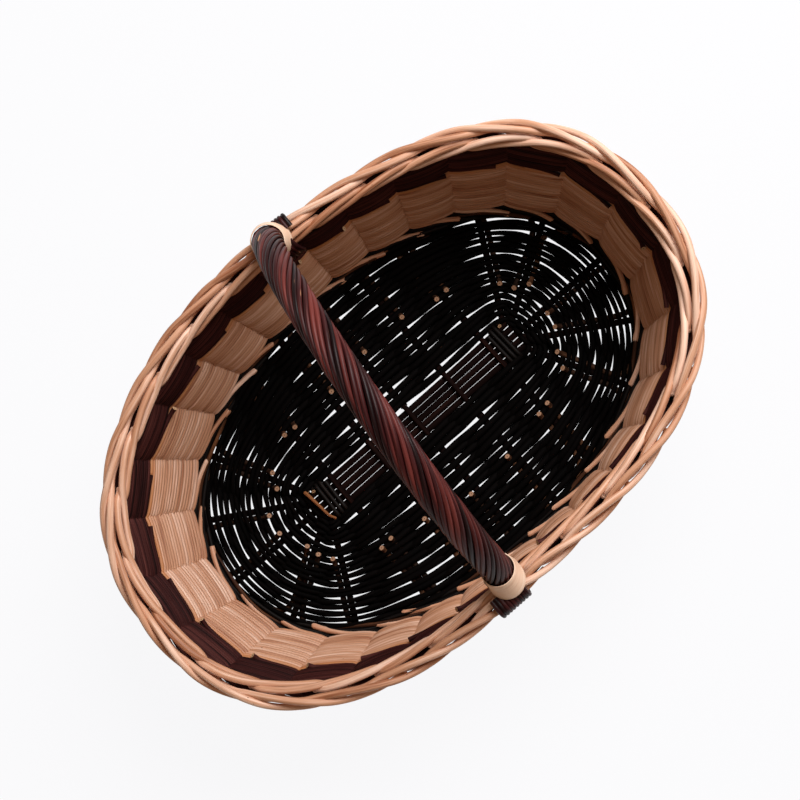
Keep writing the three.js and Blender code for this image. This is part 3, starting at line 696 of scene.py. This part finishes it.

# %% [markdown]
# ## Foot wale
#
# Where the wall begins, three rods at a time go outside two stakes and inside the third, round
# and round. As a wave over three stakes, that is a cosine pushed outward, and a sine lifts each
# rod over its neighbours on the way. Three rounds make the foot, and a fourth lies inside them.
# Most rods are given near-black tones, and the fourth round adds dark rods inside the wall's foot:
# partly the wale's own dark bark, partly painted shade of the shadowed foot.

# %% Foot wale
WALE_ROD = 2.05 * MM
WALE_LIFT = 2.1 * MM


def wale_rod(strand, middle, shift, swing, tint):
    path = []
    steps = 8
    for k in range(STAKE_COUNT * steps + 1):
        place = k / steps
        phase = math.tau * (place - strand) / 3
        outward = shift - swing * math.cos(phase)
        lift = WALE_LIFT * math.sin(phase)
        path.append(on_wall(place, middle + lift, outward))
    return Rod(path, WALE_ROD, tint=tint)


# Height, distance outward, swing to both sides, and the tints of the three rods. Tints below
# zero give near-black rods, partly painted shade of the foot.
ROUNDS = [
    (4.6 * MM, 0.0, 7.2 * MM, (-0.8, -0.7, -0.9)),
    (11.8 * MM, 0.0, 7.2 * MM, (0.3, -0.7, -0.8)),
    (15.2 * MM, 0.0, 6.2 * MM, (-0.7, -0.8, -0.6)),
    # The fourth round, inside the wall, is mostly near-black rods that fill the shaded foot: painted
    # shade.
    (14.6 * MM, -8.6 * MM, 2.6 * MM, (-0.7, 0.5, -0.8)),
]
rods = []
for middle, shift, swing, tones in ROUNDS:
    for strand in range(3):
        rods.append(wale_rod(strand, middle, shift, swing, tones[strand]))
bundle("upsett_wale_rods", rods, [wale, dark_end], ["upsett_wale"])
print("wale rods:", len(rods))

# %% [markdown]
# ## Wall
#
# The wall is French randing. One rod starts beside every stake, and all of them are woven upward
# together: inside one stake, outside the next, each rod climbing one row from stake to stake. So
# every row of the wall is the work of many rods, each of them stands out as a flat facet over
# the stakes it covers, and the rods change sides along an upright crease between two stakes. The
# butts stand off inward at the bottom of a band, and thin tips end at its top. The last rows of
# the brown band spread outward and rise into the underside of the border, which they close.

# %% Wall
RANDING_SWING = 4.5 * MM
RANDING_STEPS = 9
FLATNESS = 0.6
ROW_TAPER = 0.14
FLARE_START = 0.8
BUTT_SWELL = 0.5 * MM
RAISED_UP = Vector((0, 0, 4.5 * MM))
RAISED_IN = 2 * MM


def randing(start_z, end_z, rows, thick, thin, butt, sag, inset, tints, blunt, raised=0, flare=0.0):
    """One rod for each stake, woven up from start_z to end_z in so many rows.

    thick and thin are the radii at its two ends. butt is how far before its stake it starts,
    counted in stakes, and over that part it sags and stands inward, by sag and inset per stake.
    raised is the number of butts lifted clear of the wall, and flare moves the top rows outward.
    """
    rise = end_z - start_z
    rods = []
    lifted = chance.sample(range(STAKE_COUNT), raised)
    for j in range(STAKE_COUNT):
        path = []
        first = -butt * chance.uniform(0.55, 1.2)
        low = chance.uniform(-0.5, 0.5) * MM
        count = int((rows + chance.uniform(-0.25, 0.3) - first) * RANDING_STEPS)
        for k in range(count + 1):
            n = first + k / RANDING_STEPS
            grown = min(max(n, 0.0) / rows, 1.0)
            before = min(n, 0.0)
            climb = grown * (1 + ROW_TAPER) - ROW_TAPER * grown * grown
            z = start_z + rise * climb + low * (1 - grown) + before * sag
            radius = thick + (thin - thick) * grown - before * BUTT_SWELL
            wave = math.cos(math.pi * n)
            swing = RANDING_SWING * math.copysign(abs(wave) ** FLATNESS, wave)
            outward = -swing if n > 0 else -RANDING_SWING + before * inset
            outward += flare * max(grown - FLARE_START, 0.0) / (1 - FLARE_START)
            path.append((*on_wall(j + n, z, outward), radius))
        if j in lifted:
            end = Vector(path[0][:3])
            path[0] = (*(end + RAISED_UP - end.normalized() * RAISED_IN), thick * 1.25)
        rods.append(Rod(path, tint=chance.uniform(*tints), blunt=blunt))
    return rods


rods = randing(SIDING_FOOT + 1.8 * MM, SIDING_TOP - 0.6 * MM, rows=36, thick=2.6 * MM,
               thin=1.95 * MM, butt=0.76, sag=4 * MM, inset=9 * MM, tints=(0.2, 0.85),
               blunt=(True, True))
bundle("buff_siding_rods", rods, [buff, buff_end], ["buff_siding"])
rods = randing(BROWN_FOOT + 1.2 * MM, WALL_TOP + 4.0 * MM, rows=26, thick=2.05 * MM,
               thin=1.7 * MM, butt=0.42, sag=2 * MM, inset=1.6 * MM, tints=(0.0, 1.0),
               blunt=(False, True), raised=9, flare=3.4 * MM)
bundle("brown_band_rods", rods, [brown, buff_end], ["brown_band"])
print("rods in each band:", STAKE_COUNT)

# %% [markdown]
# ## Stakes and border
#
# A stake's butt is pushed into the base weave beside a spoke, and its cut end comes up through
# the weave. At the wale it bends up and runs through the wall, and at the top it is kinked over
# and laid down: behind two stakes, out to the front between the second and the third, over the
# strands that it meets there, and down the outside of the rim until it ends past the fifth. Its
# neighbours do the same, one stake further on, so the border is a rope of stake tops.
#
# The butts of all the stakes are one piece, and each stake from the wale upward is its own. The
# butts are peeled willow like the stakes; their dark brown colour and darker cut ends are painted
# shade.

# %% Stakes and border
# How far along in stakes, outward from the wall in mm, and up from the rim in mm.
BORDER = [
    (0.00, -0.6, -20.0), (0.04, -0.7, -16.6), (0.14, -1.1, -13.0), (0.25, -1.6, -11.2),
    (0.50, -2.8, -9.8), (0.75, -4.0, -9.8), (1.00, -4.8, -11.2), (1.25, -5.2, -14.8),
    (1.50, -5.2, -16.8), (1.75, -5.0, -18.4), (2.00, -4.6, -19.6), (2.15, -2.0, -20.0),
    (2.30, 2.4, -18.8), (2.45, 5.4, -16.8), (2.62, 7.0, -14.6), (2.80, 6.8, -12.4),
    (3.00, 4.4, -9.4), (3.25, 2.9, -5.6), (3.50, 3.2, -4.0), (3.75, 4.8, -3.6),
    (4.00, 7.2, -4.4), (4.25, 10.2, -7.2), (4.50, 12.0, -10.6), (4.75, 12.6, -13.4),
    (5.00, 12.4, -16.2), (5.30, 11.0, -20.2), (5.42, 10.4, -22.4),
]
TAPER_START = 4.0
BESIDE_SPOKE = 7 * MM
taken = set()


def butt_beside_spoke(index):
    """Pick the nearest free side of a spoke for this stake's butt."""
    foot = on_wall(index, BASE_MIDDLE)
    choices = []
    for number, spoke in enumerate(spokes):
        for side in (-1, 1):
            if (number, side) not in taken:
                away = (spoke.at(spoke.outer, side * BESIDE_SPOKE) - foot).length
                choices.append((away, number, side))
    _, number, side = min(choices)
    taken.add((number, side))
    return spokes[number], side


def strand_radius(travel):
    """The laid-down part is about as thick as the stake, and thinner towards its tip."""
    if travel < 1:
        return STAKE_RADIUS + (STRAND_RADIUS - STAKE_RADIUS) * travel
    share = max(travel - TAPER_START, 0.0) / (BORDER[-1][0] - TAPER_START)
    return STRAND_RADIUS + (STRAND_TIP_RADIUS - STRAND_RADIUS) * share


butts = []
for index in range(STAKE_COUNT):
    spoke, side = butt_beside_spoke(index)
    beside = side * (CROSS_RADIUS + STAKE_RADIUS * 0.85)
    length = min(chance.uniform(66, 78) * MM, spoke.outer - spoke.inner - 8 * MM)
    path = [
        spoke.at(spoke.outer - length, beside, 10.5 * MM),
        spoke.at(spoke.outer - length + 5 * MM, beside, 4.0 * MM),
        spoke.at(spoke.outer - length + 22 * MM, beside, 0.0),
        spoke.at(spoke.outer - 14 * MM, beside, 0.0),
        on_wall(index, BASE_MIDDLE + 1 * MM, -7 * MM),
        on_wall(index, SIDING_FOOT, -1.2 * MM),
        on_wall(index, SIDING_FOOT + 14 * MM, 0.0),
    ]
    butts.append(Rod(smooth(path, 5), STAKE_RADIUS * 0.84, STAKE_RADIUS))
    heights = (SIDING_FOOT, (SIDING_FOOT + WALL_TOP) / 2, WALL_TOP)
    path = [(*on_wall(index, z), STAKE_RADIUS) for z in heights]
    lean = chance.uniform(-0.5, 0.5)
    loose = chance.uniform(-0.015, 0.015)
    for travel, outward, below in BORDER:
        give = min(travel, 1.0)
        place = index + travel * (1 + loose * give)
        point = on_wall(place, RIM + (below + lean * give) * MM, (outward + lean * give) * MM)
        path.append((*point, strand_radius(travel)))
    rod = Rod(smooth(path, 4), tint=chance.uniform(0.0, 1.1))
    name = f"side_stake_{index + 1:02d}"
    bundle(name + "_rod", [rod], [buff, buff_end], [name], sides=10)
# The butts' dark brown material and darker cut ends are painted shade of the base.
bundle("stake_butts_rods", butts, [butt, painted_shade_butt_end], [])
print("stakes:", STAKE_COUNT)

# %% [markdown]
# ## Handle
#
# The bow is a round arch, part of a circle, whose sharpened feet run down beside two stakes.
# `arch_frame` gives a point of the arch with its two directions, which the roping and the collars
# need too. `share_at` finds the place on the arch at a height above the rim.
#
# Foot 0 is the back one and foot 1 the front one. Each has its distance from its stake, along the
# wall, and its distance in from the wall at the rim. They differ, as they do in the photograph.

# %% Handle
HANDLE_STAKES = (6, 20)
FOOT_AWAY = (4.8 * MM, 11.3 * MM)
FOOT_INSET = (-2.6 * MM, 11 * MM)
LEG_INSET = 0.6 * MM
BOW_START = 8 * MM
BOW_TIP_RADIUS = 3.0 * MM
BOW_SWELL = 6.2 * MM
SWELL_START, SWELL_LENGTH = 0.11, 0.03
BOW_STEPS = 24


def foot_place(foot, z):
    index = HANDLE_STAKES[foot]
    pitch = (on_wall(index, z) - on_wall(index - 1, z)).length
    return index - FOOT_AWAY[foot] / pitch


feet = [on_wall(foot_place(foot, RIM), RIM, -FOOT_INSET[foot]) for foot in (0, 1)]
half_span = (feet[1] - feet[0]).length / 2
arch_radius = (half_span ** 2 + HANDLE_RISE ** 2) / (2 * HANDLE_RISE)
arch_centre = (feet[0] + feet[1]) / 2 + Vector((0, 0, HANDLE_RISE - arch_radius))
chord = (feet[1] - feet[0]).normalized()
sideways = Vector((-chord.y, chord.x, 0))
first_turn = math.asin((RIM - arch_centre.z) / arch_radius)


def arch_frame(share):
    """Point on the arch, its direction, and the outward normal, from foot 0 to foot 1."""
    turn = first_turn + (math.pi - 2 * first_turn) * share
    outward = Vector((0, 0, math.sin(turn))) - chord * math.cos(turn)
    along = Vector((0, 0, math.cos(turn))) + chord * math.sin(turn)
    return arch_centre + outward * arch_radius, along, outward


def share_at(height):
    turn = math.asin((RIM + height - arch_centre.z) / arch_radius)
    return (turn - first_turn) / (math.pi - 2 * first_turn)


legs = []
for foot in (0, 1):
    leg = []
    for z, share in ((SIDING_FOOT, 0.0), (WALL_TOP, 0.4), (RIM - 4 * MM, 0.9)):
        inset = LEG_INSET + (FOOT_INSET[foot] - LEG_INSET) * share
        leg.append(on_wall(foot_place(foot, z), z, -inset))
    legs.append(leg)
start = share_at(BOW_START)
arch = [arch_frame(start + (1 - 2 * start) * k / BOW_STEPS)[0] for k in range(BOW_STEPS + 1)]
rod = Rod(smooth(legs[0] + arch + legs[1][::-1], 3), BOW_TIP_RADIUS, tint=0.4)
count = len(rod.radii)
for i in range(count):
    inside = min(i, count - 1 - i) / count
    rod.radii[i] += BOW_SWELL * min(max((inside - SWELL_START) / SWELL_LENGTH, 0.0), 1.0)
bundle("handle_bow_rod", [rod], [black, dark_end], ["handle_bow"], sides=12)
print("handle radius:", round(arch_radius / MM), "mm")

# %% [markdown]
# ## Roping
#
# The bow is hidden by sixteen thin rods, wound side by side like the strands of a rope. Each one
# turns round the arch at a steady rate, wanders a little, and is drawn in at both ends, where the
# collars hold it.

# %% Roping
ROPING_STEPS = 120
ROPING_RODS = 16
RODS_IN_GROUP = 4
low_share = share_at(-3 * MM)
groups = [[] for _ in range(ROPING_RODS // RODS_IN_GROUP)]
for strand in range(ROPING_RODS):
    path = []
    wander = chance.uniform(0, 6)
    lift = chance.uniform(-0.25, 0.35) * MM
    for k in range(ROPING_STEPS + 1):
        share = low_share + (1 - 2 * low_share) * k / ROPING_STEPS
        point, along, _ = arch_frame(share)
        turn = math.tau * (strand / ROPING_RODS + ROPING_TURNS * k / ROPING_STEPS)
        turn += 0.035 * math.sin(wander + 9 * k / ROPING_STEPS)
        edge = min(k, ROPING_STEPS - k) / ROPING_STEPS
        pinch = min(edge / 0.02, 1.0)
        radius = ROPING_RADIUS * (0.8 + 0.2 * pinch) + lift
        binormal = along.cross(sideways)
        path.append(point + (sideways * math.cos(turn) + binormal * math.sin(turn)) * radius)
    radius = ROPING_ROD * chance.uniform(0.94, 1.08)
    rod = Rod(path, radius, tint=chance.uniform(-0.2, 1.1))
    groups[strand // RODS_IN_GROUP].append(rod)
for number, rods in enumerate(groups):
    name = f"handle_roping_{number + 1:02d}"
    bundle(name + "_rods", rods, [red, dark_end], [name])
print("roping rods:", sum(len(rods) for rods in groups))

# %% [markdown]
# ## Collars
#
# A strip of pale split willow, a "skein", is wrapped round the roping at each foot. It is a
# profile spun round the handle's axis, pulled wide on one side, where the tails spread under it,
# and given a thickness. Its grain runs round the handle.

# %% Collars
COLLAR_HEIGHTS = [-3, 0, 4, 8, 12, 15, 17, 18]
COLLAR_FOOT, COLLAR_TOP = COLLAR_HEIGHTS[0] * MM, COLLAR_HEIGHTS[-1] * MM
COLLAR_RADIUS = 14.7 * MM
COLLAR_SLOPE = 0.05


def collar(name, foot, spread, towards):
    """The skein hugs the roping and widens on the side where the tails spread under it."""
    share = share_at(5 * MM)
    share = share if foot == 0 else 1 - share
    point, along, outward = arch_frame(share)
    along = along if foot == 0 else -along
    bm = bmesh.new()
    ring = []
    for height in COLLAR_HEIGHTS:
        z = height * MM
        ring.append(bm.verts.new((COLLAR_RADIUS + (COLLAR_TOP - z) * COLLAR_SLOPE, 0, z)))
    edges = [bm.edges.new(pair) for pair in zip(ring, ring[1:])]
    bmesh.ops.spin(bm, geom=ring + edges, cent=(0, 0, 0), axis=(0, 0, 1), angle=math.tau, steps=64,
                   use_merge=True)
    bmesh.ops.remove_doubles(bm, verts=bm.verts, dist=1e-5)
    bmesh.ops.recalc_face_normals(bm, faces=bm.faces)
    straight = bm.verts.layers.float_vector.new("straight")
    tint = bm.verts.layers.float.new("tint")
    for vert in bm.verts:
        angle = math.atan2(vert.co.y, vert.co.x)
        fibre = vert.co.z + 0.0015 * math.sin(angle)
        vert[straight] = (0.018 * math.cos(angle), fibre, 0.0012 * math.sin(angle))
        vert[tint] = 0.6
        below = (COLLAR_TOP - vert.co.z) / (COLLAR_TOP - COLLAR_FOOT)
        facing = max(math.cos(angle - towards), 0.0) ** 1.5
        vert.co += vert.co.to_2d().normalized().to_3d() * spread * below * facing
        vert.co.z += 0.0012 * math.sin(angle * 2 + 1)
    inward = -outward
    side = along.cross(inward)
    turn = Matrix((inward, side, along)).transposed().to_4x4()
    bmesh.ops.transform(bm, matrix=Matrix.Translation(point) @ turn, verts=bm.verts)
    for face in bm.faces:
        face.smooth = True
    mesh = bpy.data.meshes.new(name)
    bm.to_mesh(mesh)
    bm.free()
    piece = add_piece(name + "_skein", mesh, [skein], [name])
    thick = piece.modifiers.new("thickness", "SOLIDIFY")
    thick.thickness = 1.0 * MM
    thick.offset = 1.0
    soft = piece.modifiers.new("soft edges", "BEVEL")
    soft.width = 0.35 * MM
    soft.segments = 2


# %% [markdown]
# ## Tails
#
# Below each collar the ends of the roping rods come out side by side, a little to one side of the
# foot, go over the rim both ways and are pushed down into the wall.

# %% Tails
def tail_rod(place, shift, path, reach=1.0):
    pitch = (on_wall(place, WALL_TOP) - on_wall(place + 1, WALL_TOP)).length
    points = []
    for lean, outward, z in path:
        along = place + (shift + lean) * MM / pitch
        points.append(on_wall(along, RIM + z * MM, outward * reach * MM))
    tint = chance.uniform(-0.4, 0.7)
    return Rod(smooth(points, 5), ROPING_ROD * 1.02, ROPING_ROD * 0.8, tint=tint)


# Along the rim, outward from the wall and up from the rim, in mm.
OUTER_TAIL = [
    (0, 0, 4), (0, 8, 4.8), (0, 13.4, 3.2), (0, 16.8, -1.5),
    (0, 17.8, -9), (0, 16.2, -19), (0, 12.2, -31), (0, 8.6, -46),
]
INNER_TAIL = [
    (0, -5, 4), (-1, -10, 3.6), (-2, -14.4, -1), (-3, -15.6, -9),
    (-4, -14.6, -20), (-5, -11.6, -30), (-5, -8.2, -44),
]
OUTER_PITCH, INNER_PITCH = 3.5, 4.3
INNER_RODS, INNER_ASIDE = 5, 5
# Name and number of the foot, how far the collar widens and in which direction, and the rods
# outside: how many, how far along from the foot in mm, and their reach outward as a share.
TAILS = [
    ("back", 0, 5 * MM, 48, 5, -16, 0.86),
    ("front", 1, 8 * MM, 180, 9, -8, 1.0),
]
for name, foot, spread, towards, outer, aside, reach in TAILS:
    collar(f"handle_collar_{name}", foot, spread, math.radians(towards))
    place = foot_place(foot, WALL_TOP)
    rods = []
    for k in range(outer):
        shift = (k - (outer - 1) / 2) * OUTER_PITCH + aside
        rods.append(tail_rod(place, shift + chance.uniform(-0.2, 0.2), OUTER_TAIL, reach))
    for k in range(INNER_RODS):
        shift = (k - (INNER_RODS - 1) / 2) * INNER_PITCH - INNER_ASIDE
        rods.append(tail_rod(place, shift + chance.uniform(-0.3, 0.3), INNER_TAIL))
    bundle(f"handle_tail_{name}_rods", rods, [red, dark_end], [f"handle_tail_{name}"])
    print("tail rods at the", name, "foot:", len(rods))

# %% [markdown]
# ## Floor and light
#
# The photograph looks steeply down on a white ground. The floor is a large white plane. Seen
# straight by the camera it is lifted towards pure white, and it still takes the basket's soft
# shadow. One large soft light stands high beyond the +X end, and a dim, warm world fills in the
# shadows.

# %% Floor and light
floor_mesh = bpy.data.meshes.new("floor")
bm = bmesh.new()
bmesh.ops.create_grid(bm, x_segments=1, y_segments=1, size=4.0)
bm.to_mesh(floor_mesh)
bm.free()
floor = bpy.data.objects.new("floor", floor_mesh)
bpy.context.collection.objects.link(floor)
g = Graph("floor_white")
rays = [g.node("ShaderNodeLightPath", output=f"Is {kind} Ray")
        for kind in ("Camera", "Glossy", "Transmission")]
seen = rays[0] + rays[1] + rays[2]
matt = g.node("ShaderNodeBsdfDiffuse", None, {"Color": (0.82, 0.82, 0.82, 1.0)})
glow = g.node("ShaderNodeEmission", None, {"Color": (0.985, 0.985, 1.0, 1.0), "Strength": 1.0})
lifted = g.node("ShaderNodeMixShader", None, {0: seen * 0.93, 1: matt, 2: glow})
floor_mesh.materials.append(g.surface(lifted))

world = bpy.data.worlds.new("studio")
world.use_nodes = True
fill = world.node_tree.nodes["Background"]
fill.inputs["Color"].default_value = (1.0, 0.76, 0.55, 1.0)
fill.inputs["Strength"].default_value = 0.23
bpy.context.scene.world = world

LIGHT_TARGET = Vector((0, 0, 150)) * MM
LIGHT_DISTANCE = 2.2


def direction(azimuth, elevation):
    a, e = math.radians(azimuth), math.radians(elevation)
    return Vector((math.cos(a) * math.cos(e), math.sin(a) * math.cos(e), math.sin(e)))


key_data = bpy.data.lights.new("key", "AREA")
key_data.shape = "DISK"
key_data.size = 1.6
key_data.energy = 62
key = bpy.data.objects.new("key", key_data)
bpy.context.collection.objects.link(key)
towards_key = direction(20, 50)
key.location = LIGHT_TARGET + towards_key * LIGHT_DISTANCE
key.rotation_euler = towards_key.to_track_quat("Z", "Y").to_euler()
print("key light at", [round(value, 3) for value in key.location])

# %% [markdown]
# ## Camera
#
# The camera was fitted to the photograph: nearly overhead, 1.6 m away, and turned so that the
# basket lies aslant in the picture.

# %% Camera
FOCAL_PIXELS, PICTURE_PIXELS = 1691, 800
SENSOR_WIDTH = 36
CAMERA_DISTANCE = 1.6
CAMERA_TARGET = Vector((5.6, 15.3, 100)) * MM
CAMERA_AZIMUTH, CAMERA_ELEVATION = 290, 81.6
PICTURE_UP = 48.8

camera_data = bpy.data.cameras.new("camera")
camera_data.sensor_width = SENSOR_WIDTH
camera_data.lens = SENSOR_WIDTH * FOCAL_PIXELS / PICTURE_PIXELS
camera = bpy.data.objects.new("camera", camera_data)
bpy.context.collection.objects.link(camera)
back = direction(CAMERA_AZIMUTH, CAMERA_ELEVATION)
upward = direction(PICTURE_UP, 0)
upward = (upward - back * upward.dot(back)).normalized()
rightward = upward.cross(back)
turn = Matrix((rightward, upward, back)).transposed().to_4x4()
camera.matrix_world = Matrix.Translation(CAMERA_TARGET + back * CAMERA_DISTANCE) @ turn
bpy.context.scene.camera = camera
bpy.context.scene.view_settings.view_transform = "Standard"
print("camera at", [round(value, 3) for value in camera.matrix_world.translation])
